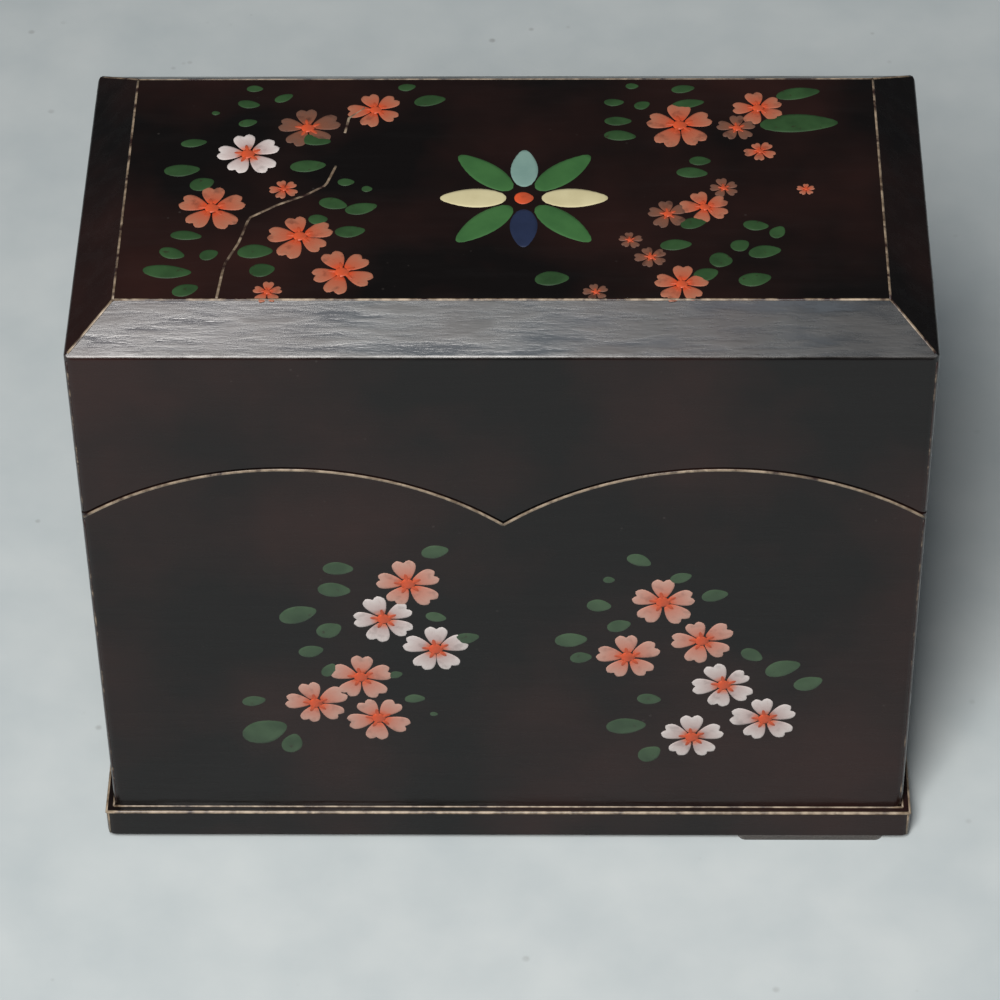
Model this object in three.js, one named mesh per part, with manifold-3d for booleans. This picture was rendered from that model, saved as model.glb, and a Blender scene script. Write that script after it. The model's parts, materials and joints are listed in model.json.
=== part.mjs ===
// A lacquered box for two decks of playing cards: a body on a plinth, and a lid that lifts straight off.
// The two halves meet flush, along a scalloped seam, over a thin liner that stands up inside the body.
// Millimetres, +Z up, front towards -Y, origin on the table under the middle of the box.
import * as THREE from "three";
import { mergeVertices } from "three/addons/utils/BufferGeometryUtils.js";
import Module from "manifold-3d";

const wasm = await Module();
wasm.setup();

// Driving dimensions: the outside
const BOX_WIDTH = 130;
const BOX_DEPTH = 66.4;
const BOX_CORNER_RADIUS = 1.5;
const PAD_HEIGHT = 1.2;
const PLINTH_HEIGHT = 5.44;
const PLINTH_PROUD = 1.35;
const PLINTH_STRIP_WIDTH = 9;
const PLINTH_ARRIS_RADIUS = 0.5;
const WALL_HEIGHT = 100.3; // from the plinth's ledge to the eave
const BEVEL_INSET = 7.3;
const BEVEL_HEIGHT = 5.3;
const EAVE_RADIUS = 1;

// Driving dimensions: boards, liner and compartments
const BODY_BOARD = 3.2;
const LID_BOARD = 2.9;
const BOTTOM_BOARD = 3;
const LINER_BOARD = 1.8;
const LINER_TOP = 93.2;
const LINER_LEAD_IN = 0.8;
const DIVIDER_BOARD = 2.4;
const DIVIDER_TOP = 87;
const LINING_THICKNESS = 0.8;
const LINING_MARGIN = 0.3;
const TOP_PANEL = 3.2;

// Driving dimensions: the scalloped seam
const SEAM_GAP = 0.35;
const ARCH_RADIUS = 53.5;
const ARCH_CROWN_X = 33.4; // each front arch is highest this far from the middle
const ARCH_CROWN_ABOVE_PLINTH = 77.66;
const SIDE_ARCH_RISE = 5.3;
const SIDE_ARCH_HALF_SPAN = 26.5;
const ARCH_STEPS = 28;

// Driving dimensions: the lid's mitred mouldings
const MOULDING_BELOW_EAVE = 2.5;
const MOULDING_LEDGE = 3.2; // carries the edge of the top panel
const MOULDING_LEDGE_DROP = 2.2;

// Driving dimensions: foot pads
const PAD_LENGTH = 24;
const PAD_WIDTH = 6;
const PAD_CORNER_RADIUS = 1.4;
const PAD_FROM_END = 4.35;
const PAD_SET_BACK = 2;

const OVERSIZE = 2; // how far a blank runs past the outline that trims it
const FILLET_STEPS = 6;

const halfWidth = BOX_WIDTH / 2;
const halfDepth = BOX_DEPTH / 2;
const plinthHalfWidth = halfWidth + PLINTH_PROUD;
const plinthHalfDepth = halfDepth + PLINTH_PROUD;
const ledgeZ = PAD_HEIGHT + PLINTH_HEIGHT;
const eaveZ = ledgeZ + WALL_HEIGHT;
const topZ = eaveZ + BEVEL_HEIGHT;
const mouldingZ = eaveZ - MOULDING_BELOW_EAVE;
const crownZ = ledgeZ + ARCH_CROWN_ABOVE_PLINTH;
const sideLandZ = crownZ - SIDE_ARCH_RISE;
const floorZ = ledgeZ + BOTTOM_BOARD;
const innerHalfWidth = halfWidth - BODY_BOARD;
const innerHalfDepth = halfDepth - BODY_BOARD;
const lidInnerHalfDepth = halfDepth - LID_BOARD;
const linerHalfWidth = innerHalfWidth - LINER_BOARD;
const linerHalfDepth = innerHalfDepth - LINER_BOARD;

const lacquer = { color: 0x17110f, roughness: 0.22, metalness: 0 };
const insideLacquer = { color: 0x1d1413, roughness: 0.35, metalness: 0 };
const felt = { color: 0x5a1a1c, roughness: 0.95, metalness: 0 };
const footFelt = { color: 0x2a2422, roughness: 0.95, metalness: 0 };

const box = new THREE.Group();
const lid = new THREE.Group();
box.add(lid);

function addPiece(group, name, geometry, finish) {
  const mesh = new THREE.Mesh(geometry, new THREE.MeshStandardMaterial(finish));
  mesh.name = name;
  group.add(mesh);
}

// Turns a closed geometry into a solid that can be cut
function toSolid(geometry) {
  geometry.deleteAttribute("normal");
  geometry.deleteAttribute("uv");
  const merged = mergeVertices(geometry);
  return new wasm.Manifold(
    new wasm.Mesh({
      numProp: 3,
      vertProperties: new Float32Array(merged.attributes.position.array),
      triVerts: new Uint32Array(merged.index.array),
    }),
  );
}

function toGeometry(solid) {
  const mesh = solid.getMesh();
  const geometry = new THREE.BufferGeometry();
  geometry.setAttribute("position", new THREE.BufferAttribute(mesh.vertProperties, 3));
  geometry.setIndex(new THREE.BufferAttribute(mesh.triVerts, 1));
  geometry.computeVertexNormals();
  return geometry;
}

// An outline with arcs in place of its corners: each corner is [across, up, radius]
function roundedOutline(corners) {
  const points = [];
  corners.forEach(([across, up, radius = 0], i) => {
    const corner = new THREE.Vector2(across, up);
    if (radius === 0) {
      points.push(corner);
      return;
    }
    const before = corners[(i + corners.length - 1) % corners.length];
    const after = corners[(i + 1) % corners.length];
    const toBefore = new THREE.Vector2(before[0], before[1]).sub(corner).normalize();
    const toAfter = new THREE.Vector2(after[0], after[1]).sub(corner).normalize();
    const halfAngle = Math.acos(toBefore.dot(toAfter)) / 2;
    const centre = toBefore.clone().add(toAfter).normalize().multiplyScalar(radius / Math.sin(halfAngle)).add(corner);
    const tangent = radius / Math.tan(halfAngle);
    const start = toBefore.clone().multiplyScalar(tangent).add(corner).sub(centre);
    const end = toAfter.clone().multiplyScalar(tangent).add(corner).sub(centre);
    const turn = Math.atan2(start.cross(end), start.dot(end));
    for (let step = 0; step <= FILLET_STEPS; step++) {
      points.push(start.clone().rotateAround(new THREE.Vector2(), (turn * step) / FILLET_STEPS).add(centre));
    }
  });
  return points;
}

// A prism with rounded corners in plan, standing on bottomZ
function roundedPrism(halfX, halfY, radius, bottomZ, height) {
  const plan = roundedOutline([
    [-halfX, -halfY, radius],
    [halfX, -halfY, radius],
    [halfX, halfY, radius],
    [-halfX, halfY, radius],
  ]);
  const geometry = new THREE.ExtrudeGeometry(new THREE.Shape(plan), { depth: height, bevelEnabled: false });
  return geometry.translate(0, 0, bottomZ);
}

// A board whose face is drawn in width and height, with its two faces at nearY and farY
function standingBoard(facePoints, nearY, farY) {
  const options = { depth: farY - nearY, bevelEnabled: false };
  const geometry = new THREE.ExtrudeGeometry(new THREE.Shape(facePoints), options);
  return geometry.rotateX(Math.PI / 2).translate(0, farY, 0);
}

// The same board turned to face a side: its face is drawn in depth and height, from nearX to farX
function standingSideBoard(facePoints, nearX, farX) {
  return standingBoard(facePoints, -farX, -nearX).rotateZ(Math.PI / 2);
}

// A section drawn as [inset, height] and run along the front of a rectangle, mitred at both corners
function mitredStrip(section, halfX, halfY) {
  const count = section.length;
  const positions = [];
  [-1, 1].forEach((end) => {
    section.forEach((point) => positions.push(end * (halfX - point.x), point.x - halfY, point.y));
  });
  const triangles = [];
  section.forEach((_, i) => {
    const next = (i + 1) % count;
    triangles.push(i, next, i + count, next, next + count, i + count);
  });
  THREE.ShapeUtils.triangulateShape(section, []).forEach(([a, b, c]) => {
    triangles.push(c, b, a, a + count, b + count, c + count);
  });
  const geometry = new THREE.BufferGeometry();
  geometry.setAttribute("position", new THREE.Float32BufferAttribute(positions, 3));
  geometry.setIndex(triangles);
  return geometry;
}

// Four mitred strips round a rectangle, trimmed by a prism that rounds the corners in plan
function addMitredFrame(group, prefix, section, halfX, halfY, trim) {
  const sides = [
    ["front", halfX, halfY, 0],
    ["right", halfY, halfX, Math.PI / 2],
    ["back", halfX, halfY, Math.PI],
    ["left", halfY, halfX, -Math.PI / 2],
  ];
  sides.forEach(([side, alongHalf, acrossHalf, turn]) => {
    const strip = toSolid(mitredStrip(section, alongHalf, acrossHalf).rotateZ(turn));
    addPiece(group, prefix + "_" + side, toGeometry(strip.intersect(trim)), lacquer);
  });
}

// The seam's height on the front and back: two arches side by side, with a point between them
function frontSeam(gap, reach) {
  const centreZ = crownZ - ARCH_RADIUS;
  const radius = ARCH_RADIUS + gap;
  const points = [];
  for (let step = -ARCH_STEPS; step <= ARCH_STEPS; step++) {
    const x = (reach * step) / ARCH_STEPS;
    const fromCrown = Math.abs(x) - ARCH_CROWN_X;
    points.push(new THREE.Vector2(x, centreZ + Math.sqrt(radius * radius - fromCrown * fromCrown)));
  }
  return points;
}

// The seam's height on a side: one low arch between two level lands, on which the lid rests
function sideSeam(gap, reach) {
  const span = SIDE_ARCH_HALF_SPAN;
  const archRadius = (span * span + SIDE_ARCH_RISE * SIDE_ARCH_RISE) / (2 * SIDE_ARCH_RISE);
  const radius = archRadius + gap;
  const centreZ = crownZ - archRadius;
  const landDrop = sideLandZ - centreZ;
  const halfSpan = Math.sqrt(radius * radius - landDrop * landDrop);
  const points = [new THREE.Vector2(-reach, sideLandZ)];
  for (let step = -ARCH_STEPS; step <= ARCH_STEPS; step++) {
    const y = (halfSpan * step) / ARCH_STEPS;
    const z = Math.abs(step) === ARCH_STEPS ? sideLandZ : centreZ + Math.sqrt(radius * radius - y * y);
    points.push(new THREE.Vector2(y, z));
  }
  points.push(new THREE.Vector2(reach, sideLandZ));
  return points;
}

function closeBelow(edge, bottomZ) {
  const first = edge[0];
  const last = edge[edge.length - 1];
  return [new THREE.Vector2(first.x, bottomZ), new THREE.Vector2(last.x, bottomZ), ...edge.slice().reverse()];
}

function closeAbove(edge, upperZ) {
  const first = edge[0];
  const last = edge[edge.length - 1];
  return [...edge, new THREE.Vector2(last.x, upperZ), new THREE.Vector2(first.x, upperZ)];
}

// Four foot pads: the front right one sits flush with the plinth, the others a little way in
function addFootPads() {
  const pads = [
    ["front_left", -1, -1, PAD_SET_BACK],
    ["front_right", 1, -1, 0],
    ["back_left", -1, 1, PAD_SET_BACK],
    ["back_right", 1, 1, PAD_SET_BACK],
  ];
  const centreX = plinthHalfWidth - PAD_FROM_END - PAD_LENGTH / 2;
  pads.forEach(([corner, sideX, sideY, setBack]) => {
    const centreY = plinthHalfDepth - setBack - PAD_WIDTH / 2;
    const pad = roundedPrism(PAD_LENGTH / 2, PAD_WIDTH / 2, PAD_CORNER_RADIUS, 0, PAD_HEIGHT);
    addPiece(box, "foot_pad_" + corner, pad.translate(sideX * centreX, sideY * centreY, 0), footFelt);
  });
}

// The plinth: four mitred strips whose tops leave a narrow ledge round the body
function addPlinth() {
  const section = roundedOutline([
    [0, PAD_HEIGHT],
    [PLINTH_STRIP_WIDTH, PAD_HEIGHT],
    [PLINTH_STRIP_WIDTH, ledgeZ],
    [0, ledgeZ, PLINTH_ARRIS_RADIUS],
  ]);
  const trim = toSolid(
    roundedPrism(plinthHalfWidth, plinthHalfDepth, BOX_CORNER_RADIUS, 0, ledgeZ + OVERSIZE),
  );
  addMitredFrame(box, "plinth", section, plinthHalfWidth, plinthHalfDepth, trim);
}

// Front and back boards run the full width, and the side boards stand between them
function addWalls(group, prefix, board, frontFace, sideFace, trim) {
  const innerY = halfDepth - board;
  const innerX = halfWidth - board;
  const front = standingBoard(frontFace, -halfDepth - OVERSIZE, -innerY);
  const back = standingBoard(frontFace, innerY, halfDepth + OVERSIZE);
  addPiece(group, prefix + "_front_board", toGeometry(toSolid(front).intersect(trim)), lacquer);
  addPiece(group, prefix + "_back_board", toGeometry(toSolid(back).intersect(trim)), lacquer);
  addPiece(group, prefix + "_left_board", standingSideBoard(sideFace, -halfWidth, -innerX), lacquer);
  addPiece(group, prefix + "_right_board", standingSideBoard(sideFace, innerX, halfWidth), lacquer);
}

function addBody() {
  const trim = toSolid(roundedPrism(halfWidth, halfDepth, BOX_CORNER_RADIUS, 0, topZ + OVERSIZE));
  const frontFace = closeBelow(frontSeam(0, halfWidth + OVERSIZE), ledgeZ);
  const sideFace = closeBelow(sideSeam(0, innerHalfDepth), ledgeZ);
  addWalls(box, "body", BODY_BOARD, frontFace, sideFace, trim);
  const bottom = new THREE.BoxGeometry(2 * innerHalfWidth, 2 * innerHalfDepth, BOTTOM_BOARD);
  addPiece(box, "bottom_board", bottom.translate(0, 0, ledgeZ + BOTTOM_BOARD / 2), insideLacquer);
}

// The liner: four thin boards that stand above the seam and guide the lid, with a lead-in round the top
function addLiner() {
  const section = (outer, inner) =>
    roundedOutline([
      [outer, floorZ],
      [inner, floorZ],
      [inner, LINER_TOP, LINER_BOARD / 4],
      [outer, LINER_TOP, LINER_LEAD_IN],
    ]);
  const alongX = section(-innerHalfDepth, -linerHalfDepth);
  const alongY = section(-innerHalfWidth, -linerHalfWidth);
  const runX = (turn) => standingSideBoard(alongX, -innerHalfWidth, innerHalfWidth).rotateZ(turn);
  const runY = (turn) => standingBoard(alongY, -linerHalfDepth, linerHalfDepth).rotateZ(turn);
  addPiece(box, "liner_front", runX(0), insideLacquer);
  addPiece(box, "liner_back", runX(Math.PI), insideLacquer);
  addPiece(box, "liner_left", runY(0), insideLacquer);
  addPiece(box, "liner_right", runY(Math.PI), insideLacquer);
}

// The divider makes two compartments, each with a felt lining on its floor
function addCompartments() {
  const halfBoard = DIVIDER_BOARD / 2;
  const section = roundedOutline([
    [-halfBoard, floorZ],
    [halfBoard, floorZ],
    [halfBoard, DIVIDER_TOP, halfBoard * 0.9],
    [-halfBoard, DIVIDER_TOP, halfBoard * 0.9],
  ]);
  addPiece(box, "divider", standingBoard(section, -linerHalfDepth, linerHalfDepth), insideLacquer);
  const compartmentWidth = linerHalfWidth - halfBoard;
  const liningX = compartmentWidth / 2 - LINING_MARGIN;
  const liningY = linerHalfDepth - LINING_MARGIN;
  [["left", -1], ["right", 1]].forEach(([side, sideX]) => {
    const lining = roundedPrism(liningX, liningY, LINING_MARGIN, floorZ, LINING_THICKNESS);
    const centreX = sideX * (halfBoard + compartmentWidth / 2);
    addPiece(box, "floor_lining_" + side, lining.translate(centreX, 0, 0), felt);
  });
}

// The lid: four scalloped boards, four mitred mouldings that form the bevel, and a flat top panel
function addLid() {
  const trim = toSolid(roundedPrism(halfWidth, halfDepth, BOX_CORNER_RADIUS, 0, topZ + OVERSIZE));
  const frontFace = closeAbove(frontSeam(SEAM_GAP, halfWidth + OVERSIZE), mouldingZ);
  const sideFace = closeAbove(sideSeam(SEAM_GAP, lidInnerHalfDepth), mouldingZ);
  addWalls(lid, "lid", LID_BOARD, frontFace, sideFace, trim);
  const panelZ = topZ - TOP_PANEL;
  const ledgeInset = BEVEL_INSET + MOULDING_LEDGE;
  const section = roundedOutline([
    [0, mouldingZ],
    [LID_BOARD, mouldingZ],
    [ledgeInset, panelZ - MOULDING_LEDGE_DROP],
    [ledgeInset, panelZ],
    [BEVEL_INSET, panelZ],
    [BEVEL_INSET, topZ],
    [0, eaveZ, EAVE_RADIUS],
  ]);
  addMitredFrame(lid, "lid_moulding", section, halfWidth, halfDepth, trim);
  const panel = new THREE.BoxGeometry(BOX_WIDTH - 2 * BEVEL_INSET, BOX_DEPTH - 2 * BEVEL_INSET, TOP_PANEL);
  addPiece(lid, "lid_top_panel", panel.translate(0, 0, topZ - TOP_PANEL / 2), lacquer);
}

addFootPads();
addPlinth();
addBody();
addLiner();
addCompartments();
addLid();

export default box;
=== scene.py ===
# %% [markdown]
# A lacquered card box: black-brown lacquer over wood, worn gold lines on its edges, and sprays of
# blossom painted on the front and the lid. The boards, mouldings and liner come from the frame at
# their real size. This lesson gives them their finish, and adds the paint and the gold as thin
# raised shapes, because hand-laid lacquer paint stands a little proud and catches the light.

# %% Load the frame
import json
import math

import bpy
import numpy as np
from mathutils import Matrix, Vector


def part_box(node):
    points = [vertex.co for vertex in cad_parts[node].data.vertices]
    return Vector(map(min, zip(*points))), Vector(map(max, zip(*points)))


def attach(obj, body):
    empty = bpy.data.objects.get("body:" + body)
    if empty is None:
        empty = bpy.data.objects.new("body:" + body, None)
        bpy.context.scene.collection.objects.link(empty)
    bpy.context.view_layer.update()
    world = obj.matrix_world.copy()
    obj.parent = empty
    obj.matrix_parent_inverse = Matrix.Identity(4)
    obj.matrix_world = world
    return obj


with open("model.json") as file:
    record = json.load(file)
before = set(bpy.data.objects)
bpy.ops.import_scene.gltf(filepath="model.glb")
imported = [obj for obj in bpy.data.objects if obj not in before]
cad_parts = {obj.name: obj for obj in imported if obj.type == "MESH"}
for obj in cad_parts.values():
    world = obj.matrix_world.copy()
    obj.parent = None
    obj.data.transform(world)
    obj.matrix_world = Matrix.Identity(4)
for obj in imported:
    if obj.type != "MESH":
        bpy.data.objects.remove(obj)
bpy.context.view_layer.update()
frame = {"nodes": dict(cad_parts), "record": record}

MM = 0.001
body_front = [np.array(corner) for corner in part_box("body_front_board")]
top_panel = [np.array(corner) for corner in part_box("lid_top_panel")]
plinth = [np.array(corner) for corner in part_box("plinth_front")]
HALF_WIDTH = body_front[1][0]
HALF_DEPTH = -body_front[0][1]
PLINTH_HALF_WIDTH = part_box("plinth_right")[1][0]
PLINTH_HALF_DEPTH = -plinth[0][1]
LEDGE_Z = plinth[1][2]
TOP_Z = top_panel[1][2]
BEVEL_HEIGHT = 5.3 * MM
EAVE_Z = TOP_Z - BEVEL_HEIGHT
CROWN_Z = body_front[1][2]

# %% [markdown]
# The camera stands where the photographer stood. Its place, turn and lens were worked out from the
# box's straight edges, so a point of the picture can be carried back onto the real face that it
# shows. That is how the painted sprays find their places below.

# %% Camera
CAMERA_PLACE = np.array([10.206, -488.77, 527.47]) * MM
CAMERA_PITCH = 0.7789
CAMERA_YAW = -0.0234
CAMERA_ROLL = -0.0159
PICTURE_SIZE = 1000
FOCAL_PIXELS = 4189
SENSOR_MM = 36


def camera_axes():
    """Right, up and forward of a camera turned by its yaw, tipped down by its pitch, then rolled."""
    sin_yaw, cos_yaw = math.sin(CAMERA_YAW), math.cos(CAMERA_YAW)
    sin_pitch, cos_pitch = math.sin(CAMERA_PITCH), math.cos(CAMERA_PITCH)
    forward = np.array([sin_yaw * cos_pitch, cos_yaw * cos_pitch, -sin_pitch])
    level_right = np.array([cos_yaw, -sin_yaw, 0])
    level_up = np.cross(level_right, forward)
    right = math.cos(CAMERA_ROLL) * level_right + math.sin(CAMERA_ROLL) * level_up
    up = -math.sin(CAMERA_ROLL) * level_right + math.cos(CAMERA_ROLL) * level_up
    return right, up, forward


def seen_on(across, down, axis, level):
    """The point where the ray through a place in the picture meets the plane axis = level."""
    right, up, forward = camera_axes()
    half = PICTURE_SIZE / 2
    ray = forward + right * (across - half) / FOCAL_PIXELS - up * (down - half) / FOCAL_PIXELS
    return CAMERA_PLACE + ray * (level - CAMERA_PLACE[axis]) / ray[axis]


def aim(thing, right, up, back, where):
    """Turns a lamp or camera so that its own right, up and backward directions are these."""
    columns = np.column_stack([right, up, back, where])
    thing.matrix_world = Matrix(np.vstack([columns, [0, 0, 0, 1]]).tolist())


def add_camera():
    data = bpy.data.cameras.new("camera")
    data.sensor_width = SENSOR_MM
    data.lens = FOCAL_PIXELS / PICTURE_SIZE * SENSOR_MM
    camera = bpy.data.objects.new("camera", data)
    bpy.context.scene.collection.objects.link(camera)
    right, up, forward = camera_axes()
    aim(camera, right, up, -forward, CAMERA_PLACE)
    bpy.context.scene.camera = camera
    print("lens", round(data.lens, 1), "mm")


add_camera()
bpy.context.scene.view_settings.view_transform = "Standard"

# %% [markdown]
# A finish is a small network of nodes. These helpers keep each network short: one makes the
# material, one adds a noise that reads Object coordinates, one turns a number into a band of
# values, and one mixes two colours.

# %% Helpers for finishes
def new_finish(name, roughness, specular):
    material = bpy.data.materials.new(name)
    material.use_nodes = True
    shader = material.node_tree.nodes["Principled BSDF"]
    shader.inputs["Roughness"].default_value = roughness
    shader.inputs["Specular IOR Level"].default_value = specular
    shader.inputs["Metallic"].default_value = 0.0
    return material, material.node_tree, shader


def coordinates(tree, stretch=(1, 1, 1), kind="Object"):
    place = tree.nodes.new("ShaderNodeTexCoord")
    mapping = tree.nodes.new("ShaderNodeMapping")
    mapping.inputs["Scale"].default_value = stretch
    tree.links.new(place.outputs[kind], mapping.inputs["Vector"])
    return mapping.outputs["Vector"]


def noise(tree, vector, scale, detail=3.0, roughness=0.5):
    node = tree.nodes.new("ShaderNodeTexNoise")
    node.inputs["Scale"].default_value = scale
    node.inputs["Detail"].default_value = detail
    node.inputs["Roughness"].default_value = roughness
    tree.links.new(vector, node.inputs["Vector"])
    return node.outputs["Fac"]


def band(tree, value, low, high, to_low=0.0, to_high=1.0):
    """Stretches values between low and high to the range to_low .. to_high, and clamps the rest."""
    node = tree.nodes.new("ShaderNodeMapRange")
    for socket, number in zip(("From Min", "From Max", "To Min", "To Max"), (low, high, to_low, to_high)):
        node.inputs[socket].default_value = number
    tree.links.new(value, node.inputs["Value"])
    return node.outputs["Result"]


def mixed(tree, share, first, second):
    """Mixes two colours, each an (r, g, b) or a socket, by a share from 0 to 1."""
    node = tree.nodes.new("ShaderNodeMix")
    node.data_type = "RGBA"
    tree.links.new(share, node.inputs["Factor"])
    for index, colour in ((6, first), (7, second)):
        if isinstance(colour, tuple):
            node.inputs[index].default_value = (*colour, 1)
        else:
            tree.links.new(colour, node.inputs[index])
    return node.outputs[2]


def times(tree, first, second):
    node = tree.nodes.new("ShaderNodeMath")
    node.operation = "MULTIPLY"
    tree.links.new(first, node.inputs[0])
    tree.links.new(second, node.inputs[1])
    return node.outputs[0]


def bumped(tree, shader, height, distance, strength=1.0, under=None):
    node = tree.nodes.new("ShaderNodeBump")
    node.inputs["Distance"].default_value = distance
    node.inputs["Strength"].default_value = strength
    tree.links.new(height, node.inputs["Height"])
    if under is not None:
        tree.links.new(under, node.inputs["Normal"])
    tree.links.new(node.outputs["Normal"], shader.inputs["Normal"])
    return node.outputs["Normal"]


# %% [markdown]
# Old black lacquer is never one flat black. It browns where light has reached it, shows reddish
# patches where the coat is thin, carries dust that dried into it, and has fine rubbed scratches
# that make a mirror image streaky. Patches come from a broad noise, specks from a cell pattern, and
# streaks from a noise stretched along the box.

# %% Lacquer
BLACK = (0.0035, 0.0028, 0.0028)
BROWN = (0.017, 0.0068, 0.0058)
DUST = (0.09, 0.08, 0.075)
PATCH_SCALE, SPECK_SCALE, SPECK_AREA_SCALE = 26, 420, 90
STREAK_SCALE, WAVE_SCALE = 60, 45
ALONG_THE_BOX = (1, 6, 9)
WAVE_DEPTH = 0.3 * MM
STREAK_DEPTH = 0.05 * MM


def lacquer(name, black, brown, roughness, specular, dust_share=0.16):
    material, tree, shader = new_finish(name, roughness, specular)
    place = coordinates(tree)
    along = coordinates(tree, ALONG_THE_BOX)
    patches = band(tree, noise(tree, place, PATCH_SCALE, 4), 0.42, 0.68)
    colour = mixed(tree, patches, black, brown)
    cells = tree.nodes.new("ShaderNodeTexVoronoi")
    cells.inputs["Scale"].default_value = SPECK_SCALE
    tree.links.new(place, cells.inputs["Vector"])
    specks = band(tree, cells.outputs["Distance"], 0.05, 0.11, 1, 0)
    here_and_there = band(tree, noise(tree, place, SPECK_AREA_SCALE, 2), 0.58, 0.66, 0, dust_share)
    colour = mixed(tree, times(tree, specks, here_and_there), colour, DUST)
    tree.links.new(colour, shader.inputs["Base Color"])
    streaks = noise(tree, along, STREAK_SCALE, 5, 0.65)
    dullness = band(tree, streaks, 0.36, 0.64, roughness * 0.6, roughness * 2)
    tree.links.new(dullness, shader.inputs["Roughness"])
    waves = bumped(tree, shader, noise(tree, place, WAVE_SCALE, 2), WAVE_DEPTH, 0.6)
    bumped(tree, shader, streaks, STREAK_DEPTH, 0.9, waves)
    return material


outer_lacquer = lacquer("outer_lacquer", BLACK, BROWN, 0.18, 0.28)
inner_lacquer = lacquer("inner_lacquer", (0.006, 0.004, 0.004), (0.022, 0.011, 0.009), 0.34, 0.4, 0.05)

# %% [markdown]
# The floor of each compartment has thin felt, and so has the underside of each pad. Felt is short
# fibres lying every way, so its colour and height come from a fine noise over a coarser one, and a
# little sheen stands for the fibres' ends.

# %% Felt
FIBRE_SCALE, TUFT_SCALE = 2600, 300
FIBRE_DEPTH = 0.2 * MM
SHEEN = 0.35


def felt(name, dark, light):
    material, tree, shader = new_finish(name, 0.95, 0.2)
    shader.inputs["Sheen Weight"].default_value = SHEEN
    place = coordinates(tree)
    fibres = noise(tree, place, FIBRE_SCALE, 6, 0.7)
    tufts = noise(tree, place, TUFT_SCALE, 3)
    colour = mixed(tree, band(tree, fibres, 0.3, 0.7), dark, light)
    worn = mixed(tree, band(tree, tufts, 0.35, 0.75, 0, 0.5), colour, dark)
    tree.links.new(worn, shader.inputs["Base Color"])
    bumped(tree, shader, fibres, FIBRE_DEPTH, 0.8)
    return material


floor_felt = felt("floor_felt", (0.05, 0.006, 0.008), (0.16, 0.022, 0.024))
pad_felt = felt("pad_felt", (0.012, 0.01, 0.009), (0.045, 0.036, 0.03))

# %% [markdown]
# Every board, moulding and pad in the frame's record names the finish that it wants. Finishes could
# be given out piece by piece, but reading the record keeps a new board from being forgotten.

# %% Give each board its finish
FINISH_BY_SLOT = {
    "black_lacquer": outer_lacquer,
    "inside_lacquer": inner_lacquer,
    "floor_felt": floor_felt,
    "foot_felt": pad_felt,
}
for part in frame["record"]["subparts"]:
    board = frame["nodes"][part["node"]]
    board.data.materials.clear()
    board.data.materials.append(FINISH_BY_SLOT[part["material_slot"]])

# %% [markdown]
# The gold lines were drawn on every edge with a fine brush and have worn thin. Each is a slim rod
# with an oval section, half sunk into the lacquer, carried along its edge. The wear is in the
# finish: a noise lets the lacquer show through in broken stretches.

# %% Gold
GOLD_LIGHT = (0.27, 0.21, 0.15)
GOLD_DARK = (0.10, 0.07, 0.045)


def worn_gold(name, worn_from, worn_to):
    material, tree, shader = new_finish(name, 0.42, 0.5)
    place = coordinates(tree)
    tone = mixed(tree, band(tree, noise(tree, place, 700, 3), 0.35, 0.65), GOLD_DARK, GOLD_LIGHT)
    bare = band(tree, noise(tree, place, 330, 5, 0.62), worn_from, worn_to)
    tree.links.new(mixed(tree, bare, tone, BROWN), shader.inputs["Base Color"])
    bumped(tree, shader, noise(tree, place, 1500, 3), 0.00005, 0.5)
    return material


gold = worn_gold("worn_gold", 0.46, 0.6)
faint_gold = worn_gold("faint_gold", 0.34, 0.48)
seam_gold = worn_gold("seam_gold", 0.52, 0.68)

OVAL_SIDES = 8


def add_mesh(name, points, faces, finish, body):
    mesh = bpy.data.meshes.new(name)
    mesh.from_pydata(points.tolist(), [], faces.tolist())
    mesh.polygons.foreach_set("use_smooth", np.full(len(mesh.polygons), True))
    mesh.materials.append(finish)
    mesh.update()
    piece = bpy.data.objects.new(name, mesh)
    bpy.context.scene.collection.objects.link(piece)
    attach(piece, body)
    return piece


def oval_rod(path, outward, half_width, half_height):
    """Points and faces of a closed rod. Each ring is an ellipse: half_width times the cosine of its
    angle across the path, plus half_height times the sine along the face's outward direction."""
    path = np.asarray(path, float)
    outward = np.broadcast_to(np.asarray(outward, float), path.shape)
    outward = outward / np.linalg.norm(outward, axis=1, keepdims=True)
    along = np.gradient(path, axis=0)
    across = np.cross(along, outward)
    across /= np.linalg.norm(across, axis=1, keepdims=True)
    angle = np.arange(OVAL_SIDES) * 2 * np.pi / OVAL_SIDES
    sideways = half_width * np.cos(angle)[:, None, None] * across
    raised = half_height * np.sin(angle)[:, None, None] * outward
    points = (path + (sideways + raised)).transpose(1, 0, 2).reshape(-1, 3)
    step = np.arange(len(path) - 1)[:, None] * OVAL_SIDES
    side = np.arange(OVAL_SIDES)[None, :]
    after = (side + 1) % OVAL_SIDES
    quads = np.stack([step + side, step + OVAL_SIDES + side, step + OVAL_SIDES + after, step + after], -1)
    return points, quads.reshape(-1, 4)


def joined(parts):
    """Puts several sets of points and faces into one, with each set's face numbers moved up."""
    starts = np.cumsum([0] + [len(points) for points, _ in parts[:-1]])
    points = np.concatenate([points for points, _ in parts])
    faces = np.concatenate([faces + start for (_, faces), start in zip(parts, starts)])
    return points, faces


CAP = np.array([(0, 1, 2, 3), (0, 3, 4, 7), (4, 5, 6, 7)])


def capped(points, faces):
    """Closes both ends of a rod with three four-sided faces each, on the ring's own eight points.
    The far end's faces run the other way round, so that both ends face outwards."""
    last_ring = len(points) - OVAL_SIDES
    return points, np.concatenate([faces, CAP, CAP[:, ::-1] + last_ring])


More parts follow.
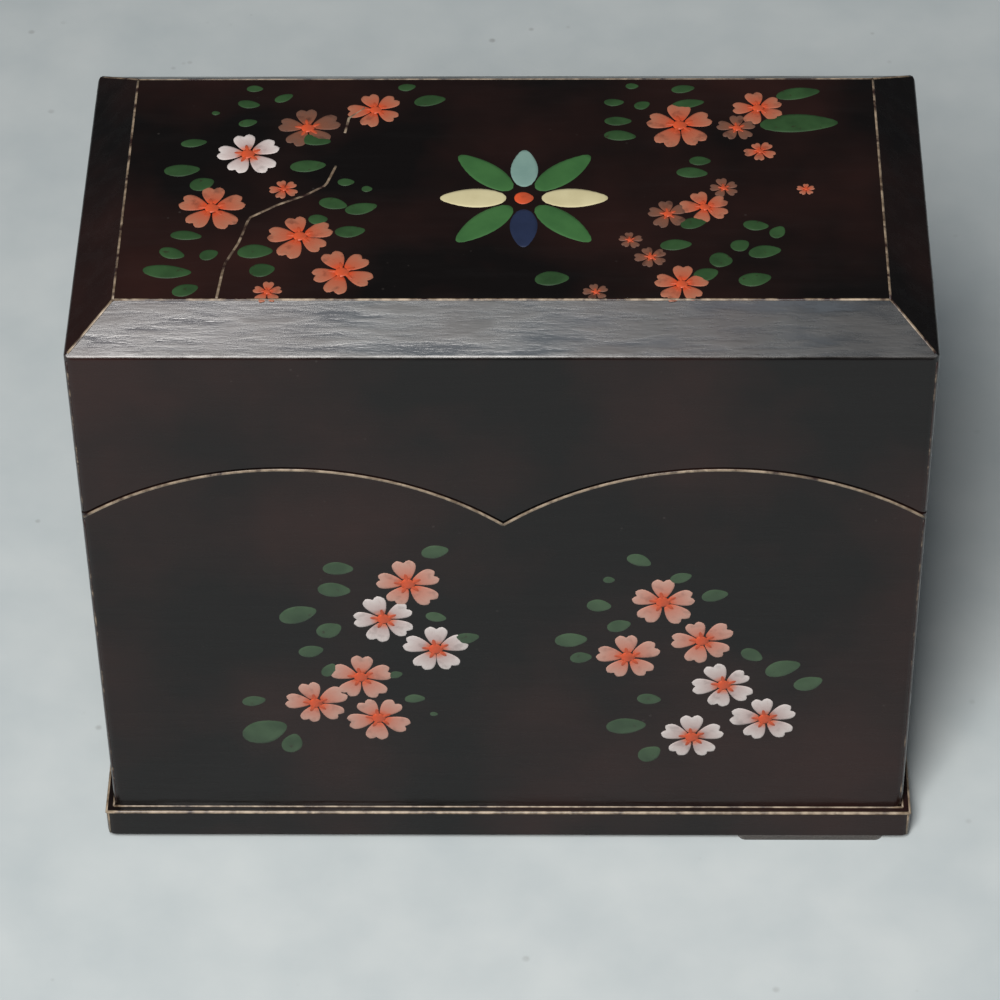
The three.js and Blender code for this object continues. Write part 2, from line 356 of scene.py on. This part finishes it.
def straight(start, end, spacing=2 * MM):
    """Evenly spaced points from start to end."""
    start, end = np.asarray(start, float), np.asarray(end, float)
    count = max(3, int(np.linalg.norm(end - start) / spacing))
    return start + (end - start) * np.linspace(0, 1, count)[:, None]


def rods(lines, half_width, half_height):
    parts = []
    for path, outward in lines:
        parts.append(capped(*oval_rod(path, outward, half_width, half_height)))
    return joined(parts)


# %% [markdown]
# On the lid the gold runs round the flat top, and down the four hips where the mouldings meet. It
# could be painted into the finish, but a rod of its own height catches the light as the real line
# does. Each line is worked out from the corners of the top panel and of the eave.

# %% Gold lines of the lid
TOP_LEAN = 0.35
HIP_LEAN = 0.4
BARE_SHARE_OF_HIP = 0.1
HIP_SPACING = 1 * MM
TOP_LINE = (0.2 * MM, 0.08 * MM)
HIP_LINE = (0.22 * MM, 0.1 * MM)


def rectangle(half_x, half_y):
    """The corners of a rectangle about the middle, anticlockwise from the front left."""
    return np.array([(-half_x, -half_y), (half_x, -half_y), (half_x, half_y), (-half_x, half_y)])


def lid_lines():
    """The rectangle round the top, and the four hips from its corners down to the eave."""
    low, high = top_panel
    top = [(low[0], low[1]), (high[0], low[1]), (high[0], high[1]), (low[0], high[1])]
    eave = rectangle(HALF_WIDTH, HALF_DEPTH)
    flat, hips = [], []
    for index in range(4):
        here, after = top[index], top[(index + 1) % 4]
        middle = (np.array(here) + np.array(after)) / 2
        lean = np.array([*(middle / np.linalg.norm(middle) * TOP_LEAN), 1])
        flat.append((straight([*here, TOP_Z], [*after, TOP_Z]), lean))
        corner = np.array([*eave[index], EAVE_Z])
        inner = np.array([*here, TOP_Z])
        outer = corner + (inner - corner) * BARE_SHARE_OF_HIP
        hips.append((straight(inner, outer, HIP_SPACING), [*(np.sign(corner[:2]) * HIP_LEAN), 1]))
    return flat, hips


def add_gold(name, lines, section, finish, body):
    """Adds lines as one piece. The section is half the rod's width and half its height."""
    add_mesh(name, *rods(lines, *section), finish, body)
    print(name, len(lines), "lines")


flat_lines, hip_lines = lid_lines()
add_gold("gold_lines_top", flat_lines, TOP_LINE, gold, "lid")
add_gold("gold_lines_hips", hip_lines, HIP_LINE, gold, "lid")

# %% [markdown]
# Under the seam the gold follows the body's scalloped edge. The same two arches are worked out from
# the frame: their crown is the top of the front board, and their radius and spacing are the real
# ones. The line keeps just below the edge, so the seam's dark gap shows above it.

# %% Gold lines of the body
ARCH_RADIUS = 53.5 * MM
ARCH_CROWN_X = 33.4 * MM
SIDE_SPAN = 26.5 * MM
SIDE_RISE = 5.3 * MM
SHORT_OF_CORNER = 0.5 * MM
ARCH_POINTS, SIDE_POINTS = 70, 60


def front_seam_height(x, radius):
    """Two circles side by side: the height at x is the centre's plus the circle's half chord."""
    return CROWN_Z - ARCH_RADIUS + np.sqrt(radius ** 2 - (np.abs(x) - ARCH_CROWN_X) ** 2)


def seam_lines(drop):
    """The line below the scalloped edge, on the front and the back."""
    lines = []
    for face in (-1, 1):
        for side in (-1, 1):
            x = side * np.linspace(0, HALF_WIDTH - SHORT_OF_CORNER, ARCH_POINTS)
            z = front_seam_height(x, ARCH_RADIUS - drop)
            y = np.full_like(x, face * HALF_DEPTH)
            lines.append((np.stack([x, y, z], -1), (0, face, 0)))
    return lines


def side_seam_lines(drop):
    """The same below each side's low arch: a circle through the two lands and the crown."""
    radius = (SIDE_SPAN ** 2 + SIDE_RISE ** 2) / (2 * SIDE_RISE)
    y = np.linspace(-SIDE_SPAN, SIDE_SPAN, SIDE_POINTS)
    z = CROWN_Z - radius + np.sqrt((radius - drop) ** 2 - y ** 2)
    return [(np.stack([np.full_like(y, side * HALF_WIDTH), y, z], -1), (side, 0, 0)) for side in (-1, 1)]


def ring_lines(half_x, half_y, z, lean):
    """Four straight lines round the box at one height, facing outwards and up by the lean."""
    corners = rectangle(half_x, half_y)
    lines = []
    for here, after in zip(corners, np.roll(corners, -1, axis=0)):
        away = (here + after) / np.linalg.norm(here + after)
        lines.append((straight([*here, z], [*after, z]), (*away, lean)))
    return lines


def arris_lines(half_x, half_y, low, high):
    """Four upright lines on the corners."""
    lines = []
    for x, y in rectangle(half_x, half_y):
        lines.append((straight([x, y, low], [x, y, high]), (np.sign(x), np.sign(y), 0)))
    return lines


SEAM_DROP = 0.3 * MM
ARRIS_INSET = 0.44 * MM
PLINTH_INSET = 0.2 * MM
PLINTH_DROP = 0.15 * MM
CORNER_GAP = 1 * MM
SEAM_LINE = (0.26 * MM, 0.09 * MM)
FOOT_LINE = (0.2 * MM, 0.16 * MM)
PLINTH_LINE = (0.26 * MM, 0.12 * MM)
CORNER_LINE = (0.2 * MM, 0.08 * MM)
box_corner = (HALF_WIDTH - ARRIS_INSET, HALF_DEPTH - ARRIS_INSET)
plinth_edge = (PLINTH_HALF_WIDTH - PLINTH_INSET, PLINTH_HALF_DEPTH - PLINTH_INSET)
plinth_corner = (PLINTH_HALF_WIDTH - ARRIS_INSET, PLINTH_HALF_DEPTH - ARRIS_INSET)
seam_end_z = float(front_seam_height(np.array([HALF_WIDTH]), ARCH_RADIUS)[0])
all_seams = seam_lines(SEAM_DROP) + side_seam_lines(SEAM_DROP)
plinth_lines = ring_lines(*plinth_edge, LEDGE_Z - PLINTH_DROP, 1)
plinth_lines += arris_lines(*plinth_corner, plinth[0][2], LEDGE_Z)
body_corners = arris_lines(*box_corner, LEDGE_Z, seam_end_z - CORNER_GAP)
lid_corners = arris_lines(*box_corner, seam_end_z + CORNER_GAP, EAVE_Z - CORNER_GAP)
add_gold("gold_line_seam", all_seams, SEAM_LINE, seam_gold, "body")
add_gold("gold_line_foot", ring_lines(HALF_WIDTH, HALF_DEPTH, LEDGE_Z, 1), FOOT_LINE, seam_gold, "body")
add_gold("gold_line_plinth", plinth_lines, PLINTH_LINE, seam_gold, "body")
add_gold("gold_lines_body_corners", body_corners, CORNER_LINE, faint_gold, "body")
add_gold("gold_lines_lid_corners", lid_corners, CORNER_LINE, faint_gold, "lid")

# %% [markdown]
# Each blossom has five notched petals laid with one loaded brush stroke apiece, and a vermilion
# heart. A petal is a small sheet worked out on a grid: one parameter runs from its foot to its tip,
# the other across it. It swells a little in the middle, as a drop of lacquer paint does. Its own
# UV map says how far out each point lies, so the finish can fade from the heart to the tip.

# %% Painted shapes
PAINT_HEIGHT = 0.06 * MM
PAINT_SUNK = -0.03 * MM
RIGHT, BACK, UP = np.eye(3)
FACES = {
    "front": {"axis": 1, "level": -HALF_DEPTH, "right": RIGHT, "up": UP, "out": -BACK},
    "top": {"axis": 2, "level": TOP_Z, "right": RIGHT, "up": BACK, "out": UP},
}


def drop_of_paint(flat_x, flat_y):
    """A closed drop over a grid: an upper sheet that swells in its middle, a lower one just under
    the lacquer, and a narrow wall between their rims. Returns rows of (x, y, height), the faces,
    and for each point how far across and how far along the drop it lies."""
    rows, columns = flat_x.shape
    u = np.linspace(0, 1, rows)[:, None]
    v = np.linspace(-1, 1, columns)[None, :]
    swell = np.clip(4 * u * (1 - u), 0, 1) ** 0.25 * (1 - v ** 2) ** 0.25
    upper = np.stack([flat_x, flat_y, PAINT_SUNK + (PAINT_HEIGHT - PAINT_SUNK) * swell], -1).reshape(-1, 3)
    lower = np.stack([flat_x, flat_y, np.full_like(flat_x, PAINT_SUNK * 1.5)], -1).reshape(-1, 3)
    index = np.arange(rows * columns).reshape(rows, columns)
    top = np.stack([index[:-1, :-1], index[1:, :-1], index[1:, 1:], index[:-1, 1:]], -1).reshape(-1, 4)
    rim = np.concatenate([index[0, :-1], index[:-1, -1], index[-1, :0:-1], index[:0:-1, 0]])
    after = np.roll(rim, -1)
    count = rows * columns
    wall = np.stack([rim + count, after + count, after, rim], -1)
    faces = np.concatenate([top[:, ::-1], top + count, wall])
    across, along = np.broadcast_arrays(v / 2 + 0.5, u)
    uv = np.stack([across, along], -1).reshape(-1, 2)
    return np.concatenate([upper, lower]), faces, np.concatenate([uv, uv])


def petal(radius, width, notch):
    """A notched petal pointing along +y. Across it, v runs -1 to 1. Its half width grows as u to the
    power 0.62 and its tip is an arc with a dip of the notch's depth in the middle."""
    u = np.linspace(0.04, 1, 9)[:, None]
    v = np.linspace(-1, 1, 9)[None, :]
    tip = np.sqrt(1 - 0.42 * v ** 2) - notch * np.exp(-(v / 0.28) ** 2) * u ** 3
    half = width * u ** 0.62 * (1 - 0.28 * u ** 5)
    return v * half, radius * (0.1 + 0.9 * u * tip)


def leaf(length, width, bend):
    """A leaf along +x: its half width is the sine of the way along it, fuller towards the foot, and
    its middle line bows by a share of its length."""
    u = np.linspace(0, 1, 11)[:, None]
    v = np.linspace(-1, 1, 7)[None, :]
    half = width / 2 * np.sin(np.pi * u ** 0.85) ** 0.7 + 0.02 * MM
    x = length * (u - 0.5) + 0 * v
    y = -v * half + bend * length * (0.25 - (u - 0.5) ** 2)
    return x, y


def laid(face, across, down, turn, sheet, lift=0.0):
    """Turns a drop of paint in its own plane and lays it on a face, at a place in the picture."""
    points, faces, uv = drop_of_paint(*sheet)
    side = FACES[face]
    centre = seen_on(across, down, side["axis"], side["level"])
    x = points[:, 0] * math.cos(turn) - points[:, 1] * math.sin(turn)
    y = points[:, 0] * math.sin(turn) + points[:, 1] * math.cos(turn)
    height = points[:, 2] + lift
    in_plane = x[:, None] * side["right"] + y[:, None] * side["up"]
    return centre + in_plane + height[:, None] * side["out"], faces, uv


def add_paint(name, drops, finish, body):
    """Joins drops of paint into one piece, with the UV map that their finish reads."""
    points, faces = joined([(points, faces) for points, faces, _ in drops])
    uv = np.concatenate([uv for _, _, uv in drops])
    piece = add_mesh(name, points, faces, finish, body)
    layer = piece.data.uv_layers.new(name="UVMap")
    corners = np.empty(len(piece.data.loops), dtype=np.int32)
    piece.data.loops.foreach_get("vertex_index", corners)
    layer.data.foreach_set("uv", uv[corners].ravel())
    print(name, len(drops), "strokes", len(faces), "faces")


# %% [markdown]
# Petal paint is thin, so brush streaks show the lacquer through it, and it is deepest near the
# heart. Leaf paint is an opaque green, deeper on the lid and greyer on the front, with a darker rim
# where it pooled. Both fades read the drop's own UV map, so they turn with each petal and leaf.

# %% Paint
def petal_paint(name, heart, middle, tip, thin=0.25):
    material, tree, shader = new_finish(name, 0.5, 0.35)
    split = tree.nodes.new("ShaderNodeSeparateXYZ")
    tree.links.new(coordinates(tree, kind="UV"), split.inputs["Vector"])
    streaks = noise(tree, coordinates(tree, (9, 1.6, 1), "UV"), 2.2, 4, 0.6)
    blotches = noise(tree, coordinates(tree), 620, 3)
    out = split.outputs["Y"]
    colour = mixed(tree, band(tree, out, 0.12, 0.32), heart, middle)
    colour = mixed(tree, band(tree, out, 0.3, 0.85), colour, tip)
    colour = mixed(tree, band(tree, streaks, 0.5, 0.72, 0, thin * 2), colour, middle)
    colour = mixed(tree, band(tree, blotches, 0.55, 0.72, 0, thin), colour, BROWN)
    tree.links.new(colour, shader.inputs["Base Color"])
    bumped(tree, shader, streaks, 0.00006, 0.6)
    return material


def leaf_paint(name, light, dark):
    material, tree, shader = new_finish(name, 0.5, 0.35)
    place = coordinates(tree)
    split = tree.nodes.new("ShaderNodeSeparateXYZ")
    tree.links.new(coordinates(tree, kind="UV"), split.inputs["Vector"])
    rim = band(tree, split.outputs["X"], 0.0, 0.12, 1, 0)
    colour = mixed(tree, band(tree, noise(tree, place, 260, 4), 0.35, 0.68), light, dark)
    colour = mixed(tree, times(tree, rim, noise(tree, place, 800, 2)), colour, dark)
    colour = mixed(tree, band(tree, noise(tree, place, 900, 4), 0.62, 0.72, 0, 0.6), colour, BROWN)
    tree.links.new(colour, shader.inputs["Base Color"])
    bumped(tree, shader, noise(tree, place, 500, 3), 0.00006, 0.5)
    return material


PAINTS = {
    "salmon": petal_paint("salmon_petal", (0.42, 0.075, 0.03), (0.36, 0.14, 0.10), (0.36, 0.21, 0.17)),
    "white": petal_paint("white_petal", (0.40, 0.10, 0.05), (0.34, 0.26, 0.25), (0.44, 0.40, 0.39)),
    "orange": petal_paint("orange_petal", (0.40, 0.045, 0.012), (0.30, 0.07, 0.035), (0.26, 0.10, 0.06), 0.4),
    "faded": petal_paint("faded_petal", (0.20, 0.045, 0.02), (0.13, 0.05, 0.03), (0.10, 0.05, 0.035), 0.6),
}
HEART = petal_paint("vermilion_heart", (0.46, 0.06, 0.018), (0.42, 0.06, 0.02), (0.30, 0.05, 0.02), 0.2)
FRONT_LEAF = leaf_paint("front_leaf", (0.036, 0.066, 0.034), (0.022, 0.043, 0.022))
TOP_LEAF = leaf_paint("top_leaf", (0.020, 0.054, 0.018), (0.012, 0.034, 0.011))

# %% [markdown]
# The sprays are listed as a painter would read them off the box: for a blossom, where its heart is
# in the picture, its colour, its radius and how far it is turned; for a leaf, its middle, length,
# width and slant. Sizes are millimetres on the box, and slants are degrees.

# %% Where the blossoms and leaves are
FRONT_BLOSSOMS = [
    (408, 584, "salmon", 5.7, 8), (384, 619, "white", 5.6, 20), (436, 649, "white", 5.7, 4),
    (361, 677, "salmon", 5.6, 0), (316, 703, "salmon", 5.4, 14), (379, 718, "salmon", 5.5, 30),
    (663, 602, "salmon", 5.7, 0), (702, 641, "salmon", 5.4, 18), (628, 657, "salmon", 5.6, 6),
    (724, 685, "white", 5.4, 24), (765, 719, "white", 5.6, 10), (692, 737, "white", 5.6, 0),
]
FRONT_LEAVES = [
    (435, 552, 4.7, 3.2, 15), (338, 569, 5.2, 3.2, 0), (334, 590, 5.6, 3.6, -5), (298, 615, 6.8, 4.2, 22),
    (329, 630, 4.6, 3.8, 28), (311, 651, 4.4, 3.0, 14), (436, 617, 3.6, 2.4, -15), (466, 638, 4.6, 2.8, 12),
    (329, 670, 3.6, 2.4, 60), (396, 675, 2.4, 1.8, 20), (254, 701, 4.2, 2.6, 12), (265, 731, 8.4, 6.0, 24),
    (292, 743, 5.0, 3.8, 72), (415, 699, 3.6, 2.2, 5), (434, 714, 1.4, 1.1, 0),
    (639, 561, 4.4, 2.8, -25), (609, 580, 2.0, 1.6, 0), (681, 578, 3.8, 2.5, 20), (715, 596, 4.6, 3.0, 15),
    (599, 606, 4.2, 3.1, -5), (619, 626, 4.2, 3.0, 20), (571, 640, 5.6, 3.6, 6), (581, 658, 3.8, 2.8, 10),
    (752, 655, 4.2, 3.0, -35), (783, 669, 6.4, 4.0, 24), (808, 683, 5.2, 3.6, 22), (649, 699, 4.2, 2.8, -6),
    (626, 726, 7.0, 4.2, 6), (650, 754, 4.6, 3.8, 48),
]
TOP_BLOSSOMS = [
    (308, 128, "faded", 5.2, 6), (376, 110, "orange", 4.6, 22), (248, 154, "white", 5.4, 12),
    (212, 208, "orange", 5.5, 0), (284, 189, "orange", 2.4, 20), (300, 236, "orange", 5.3, 10),
    (342, 272, "orange", 5.4, 28), (267, 292, "orange", 2.6, 0),
    (680, 125, "orange", 5.6, 4), (758, 108, "orange", 4.4, 16), (760, 151, "orange", 2.6, 30),
    (737, 128, "faded", 3.4, 0), (705, 207, "orange", 4.0, 20), (668, 214, "faded", 3.4, 8),
    (806, 189, "orange", 1.5, 0), (724, 188, "faded", 2.4, 12), (682, 284, "orange", 4.6, 0),
    (651, 257, "faded", 2.6, 18), (630, 240, "faded", 2.0, 0), (596, 292, "faded", 2.0, 10),
]
TOP_LEAVES = [
    (255, 89, 2.8, 1.8, 0), (284, 98, 3.4, 2.0, 30), (249, 104, 3.8, 2.2, -10), (248, 123, 3.2, 2.0, 15),
    (216, 113, 1.4, 1.1, 0), (194, 143, 4.4, 2.2, 8), (182, 170, 6.0, 3.2, 5), (202, 184, 4.2, 3.4, 25),
    (315, 140, 5.4, 3.0, -10), (308, 166, 6.0, 3.2, 6), (346, 182, 2.8, 2.0, 0), (367, 189, 1.8, 1.6, 0),
    (333, 204, 4.8, 3.0, -15), (361, 208, 5.4, 3.0, 15), (318, 219, 3.2, 2.6, 0), (350, 231, 5.0, 3.0, 6),
    (255, 252, 5.8, 3.6, 5), (186, 236, 5.2, 2.4, -5), (172, 253, 4.4, 2.8, -22), (209, 255, 3.2, 2.6, 30),
    (167, 271, 8.0, 3.4, -5), (185, 290, 4.4, 3.0, 22), (262, 270, 4.2, 3.4, 12), (430, 101, 5.4, 3.0, 12),
    (407, 87, 3.0, 2.0, 10), (632, 86, 2.2, 1.6, 0), (683, 89, 4.0, 2.2, 10), (614, 102, 3.4, 2.0, 0),
    (642, 105, 2.8, 2.2, 25), (618, 121, 4.6, 2.4, 0), (620, 136, 5.4, 2.8, -5), (688, 104, 5.6, 2.4, 12),
    (798, 94, 7.6, 3.2, 12), (799, 124, 13.2, 5.0, 3), (700, 161, 3.6, 2.4, 0), (692, 173, 5.2, 2.8, -4),
    (694, 223, 4.6, 2.8, 20), (676, 245, 5.2, 2.8, 6), (706, 274, 4.2, 3.2, 22), (756, 225, 4.2, 2.6, -8),
    (778, 232, 3.2, 2.6, 60), (740, 245, 3.2, 3.0, 30), (765, 252, 5.4, 3.2, 12), (721, 260, 3.8, 3.8, -10),
    (755, 279, 5.4, 3.4, 12), (552, 279, 5.6, 3.6, 6),
]

# %% [markdown]
# No two brush strokes are alike, so each petal's size and turn vary a little. The variation is drawn
# from one seeded generator, which gives the same sprays every time. All strokes of one colour on
# one face become one piece, because that is how the painter laid them: colour by colour.

# %% Lay the blossoms and leaves
PETALS = 5
PETAL_WIDTH = 0.46
PETAL_NOTCH = 0.2
UNEVENNESS = 0.05
LEAF_BEND = 0.15
HEART_LENGTH, HEART_WIDTH, STROKE_WIDTH = 0.42, 0.4, 0.07
HEART_TURN = 10
DAB_LIFT = 0.06 * MM
STROKE_LIFT = 0.05 * MM
shuffled = np.random.default_rng(7)


def blossom_drops(face, across, down, radius, turn):
    drops = []
    for number in range(PETALS):
        angle = math.radians(turn) + number * 2 * math.pi / PETALS + shuffled.normal(0, UNEVENNESS)
        size = radius * MM * (1 + shuffled.normal(0, UNEVENNESS))
        drops.append(laid(face, across, down, angle, petal(size, size * PETAL_WIDTH, PETAL_NOTCH)))
    return drops


def heart_drops(face, across, down, radius):
    """A round dab at the middle, and five short strokes that run out of it onto the petals."""
    dab = leaf(radius * HEART_LENGTH * MM, radius * HEART_WIDTH * MM, 0)
    drops = [laid(face, across, down, 0, dab, lift=DAB_LIFT)]
    for number in range(PETALS):
        angle = math.radians(HEART_TURN) + number * 2 * math.pi / PETALS
        stroke = petal(radius * HEART_LENGTH * MM, radius * STROKE_WIDTH * MM, 0)
        drops.append(laid(face, across, down, angle, stroke, lift=STROKE_LIFT))
    return drops


def paint_spray(face, body, blossoms, leaves, leaf_finish):
    by_colour = {}
    hearts = []
    for across, down, colour, radius, turn in blossoms:
        by_colour.setdefault(colour, []).extend(blossom_drops(face, across, down, radius, turn))
        hearts.extend(heart_drops(face, across, down, radius))
    for colour, drops in by_colour.items():
        add_paint(f"{face}_petals_{colour}", drops, PAINTS[colour], body)
    add_paint(f"{face}_hearts", hearts, HEART, body)
    green = []
    for across, down, length, width, slant in leaves:
        bend = shuffled.uniform(-LEAF_BEND, LEAF_BEND)
        green.append(laid(face, across, down, math.radians(slant), leaf(length * MM, width * MM, bend)))
    add_paint(f"{face}_leaves", green, leaf_finish, body)


paint_spray("front", "body", FRONT_BLOSSOMS, FRONT_LEAVES, FRONT_LEAF)
paint_spray("top", "lid", TOP_BLOSSOMS, TOP_LEAVES, TOP_LEAF)

# %% [markdown]
# The middle of the lid has a plain made-up rosette: eight leaf shapes that point away from one
# centre, green ones on the diagonals and cream, pale blue and dark blue ones between them, round a
# small dab. Its paint is flat and opaque, so each shape is a large drop of one colour.

# %% The rosette in the middle of the lid
def flat_paint(name, light, dark):
    material, tree, shader = new_finish(name, 0.42, 0.4)
    place = coordinates(tree)
    colour = mixed(tree, band(tree, noise(tree, place, 190, 4), 0.3, 0.7), light, dark)
    tree.links.new(colour, shader.inputs["Base Color"])
    bumped(tree, shader, noise(tree, place, 420, 3), 0.00006, 0.5)
    return material


ROSETTE_CENTRE = (524, 198)
ROSETTE_DAB = 3.2
CLEAR_OF_DAB = 0.7
# colour, light and dark tone, leaf length and width in millimetres, and the slants in degrees
ROSETTE = [
    ("green", (0.035, 0.105, 0.032), (0.024, 0.078, 0.024), 12.5, 5.2, (45, 135, 225, 315)),
    ("cream", (0.46, 0.42, 0.26), (0.38, 0.34, 0.20), 11.0, 5.0, (0, 180)),
    ("pale_blue", (0.16, 0.25, 0.22), (0.12, 0.20, 0.18), 9.5, 4.8, (90,)),
    ("dark_blue", (0.013, 0.020, 0.050), (0.009, 0.014, 0.034), 9.5, 4.8, (270,)),
]


def rosette_leaf(length, width, slant):
    """A straight leaf moved out along its own line, so its foot clears the dab in the middle."""
    x, y = leaf(length * MM, width * MM, 0)
    moved_out = x + (length / 2 + ROSETTE_DAB * CLEAR_OF_DAB) * MM
    return laid("top", *ROSETTE_CENTRE, math.radians(slant), (moved_out, y))


for colour, light, dark, length, width, slants in ROSETTE:
    drops = [rosette_leaf(length, width, slant) for slant in slants]
    add_paint(f"rosette_{colour}", drops, flat_paint(f"rosette_{colour}", light, dark), "lid")
dab = laid("top", *ROSETTE_CENTRE, 0, leaf(ROSETTE_DAB * MM, ROSETTE_DAB * MM, 0))
add_paint("rosette_dab", [dab], HEART, "lid")

# %% [markdown]
# A thin branch runs up through the left spray of the lid, with a short twig above it. It was drawn
# with the gold brush, so it is a rod as the other gold lines are. Its path goes straight from each
# place in the picture to the next.

# %% The thin branch on the lid
BRANCHES = [
    [(216, 300), (224, 265), (239, 242), (249, 218), (277, 205), (306, 195), (326, 185), (336, 166)],
    [(345, 133), (349, 118), (365, 108)],
]
BRANCH_POINTS = 40
BRANCH_LINE = (0.22 * MM, 0.07 * MM)
branch_lines = []
for places in BRANCHES:
    knots = np.array([seen_on(across, down, 2, TOP_Z) for across, down in places])
    steps = np.linspace(0, len(knots) - 1, BRANCH_POINTS)
    path = np.stack([np.interp(steps, np.arange(len(knots)), knots[:, i]) for i in range(3)], -1)
    branch_lines.append((path, (0, 0, 1)))
branch_gold = worn_gold("branch_gold", 0.42, 0.6)
add_gold("branch_top", branch_lines, BRANCH_LINE, branch_gold, "lid")

# %% [markdown]
# The box stands on a pale, faintly clouded floor with a few small specks. A flat square far wider
# than the box is enough, because the camera looks down on it.

# %% Floor
FLOOR_HALF_SIZE = 3.0


def add_floor():
    corners = [(x, y, 0) for x, y in rectangle(FLOOR_HALF_SIZE, FLOOR_HALF_SIZE).tolist()]
    material, tree, shader = new_finish("pale_floor", 0.6, 0.3)
    place = coordinates(tree)
    cloudy = band(tree, noise(tree, place, 60, 5), 0.3, 0.7)
    colour = mixed(tree, cloudy, (0.375, 0.415, 0.43), (0.43, 0.465, 0.475))
    cells = tree.nodes.new("ShaderNodeTexVoronoi")
    cells.inputs["Scale"].default_value = 160
    tree.links.new(place, cells.inputs["Vector"])
    specks = band(tree, cells.outputs["Distance"], 0.06, 0.13, 1, 0)
    some = band(tree, noise(tree, place, 35, 2), 0.52, 0.66, 0, 0.7)
    colour = mixed(tree, times(tree, specks, some), colour, (0.12, 0.11, 0.10))
    tree.links.new(colour, shader.inputs["Base Color"])
    mesh = bpy.data.meshes.new("floor")
    mesh.from_pydata(corners, [], [[0, 1, 2, 3]])
    mesh.materials.append(material)
    floor = bpy.data.objects.new("floor", mesh)
    bpy.context.scene.collection.objects.link(floor)


add_floor()

# %% [markdown]
# A lamp above the camera gives the plain level of light. A broad, weak, cool panel overhead is what
# the front bevel mirrors. The room is dark to the lacquer, so the top stays black, and pale only
# where the camera looks past the floor.

# %% Lamps and room
def add_panel(name, where, towards, width, height, watts, colour):
    """A flat lamp at a place, turned to face a point."""
    data = bpy.data.lights.new(name, "AREA")
    data.shape = "RECTANGLE"
    data.size = width
    data.size_y = height
    data.energy = watts
    data.color = colour
    lamp = bpy.data.objects.new(name, data)
    bpy.context.scene.collection.objects.link(lamp)
    where = np.array(where, float)
    back = where - np.array(towards, float)
    back /= np.linalg.norm(back)
    right = np.cross((0, 0, 1), back)
    right /= np.linalg.norm(right)
    aim(lamp, right, np.cross(back, right), back, where)


add_panel("key", (-0.14, -0.60, 0.80), (0, 0, 0.05), 0.30, 0.40, 15.0, (1.0, 0.97, 0.93))
add_panel("overhead", (-0.10, -0.40, 0.98), (0, 0, 0.1), 0.46, 0.22, 1.7, (0.80, 0.90, 1.0))

world = bpy.data.worlds.new("room")
bpy.context.scene.world = world
world.use_nodes = True
room = world.node_tree
room.nodes["Background"].inputs["Color"].default_value = (0.05, 0.053, 0.056, 1)
pale = room.nodes.new("ShaderNodeBackground")
pale.inputs["Color"].default_value = (0.42, 0.45, 0.46, 1)
rays = room.nodes.new("ShaderNodeLightPath")
choose = room.nodes.new("ShaderNodeMixShader")
room.links.new(rays.outputs["Is Camera Ray"], choose.inputs["Fac"])
room.links.new(room.nodes["Background"].outputs["Background"], choose.inputs[1])
room.links.new(pale.outputs["Background"], choose.inputs[2])
room.links.new(choose.outputs["Shader"], room.nodes["World Output"].inputs["Surface"])
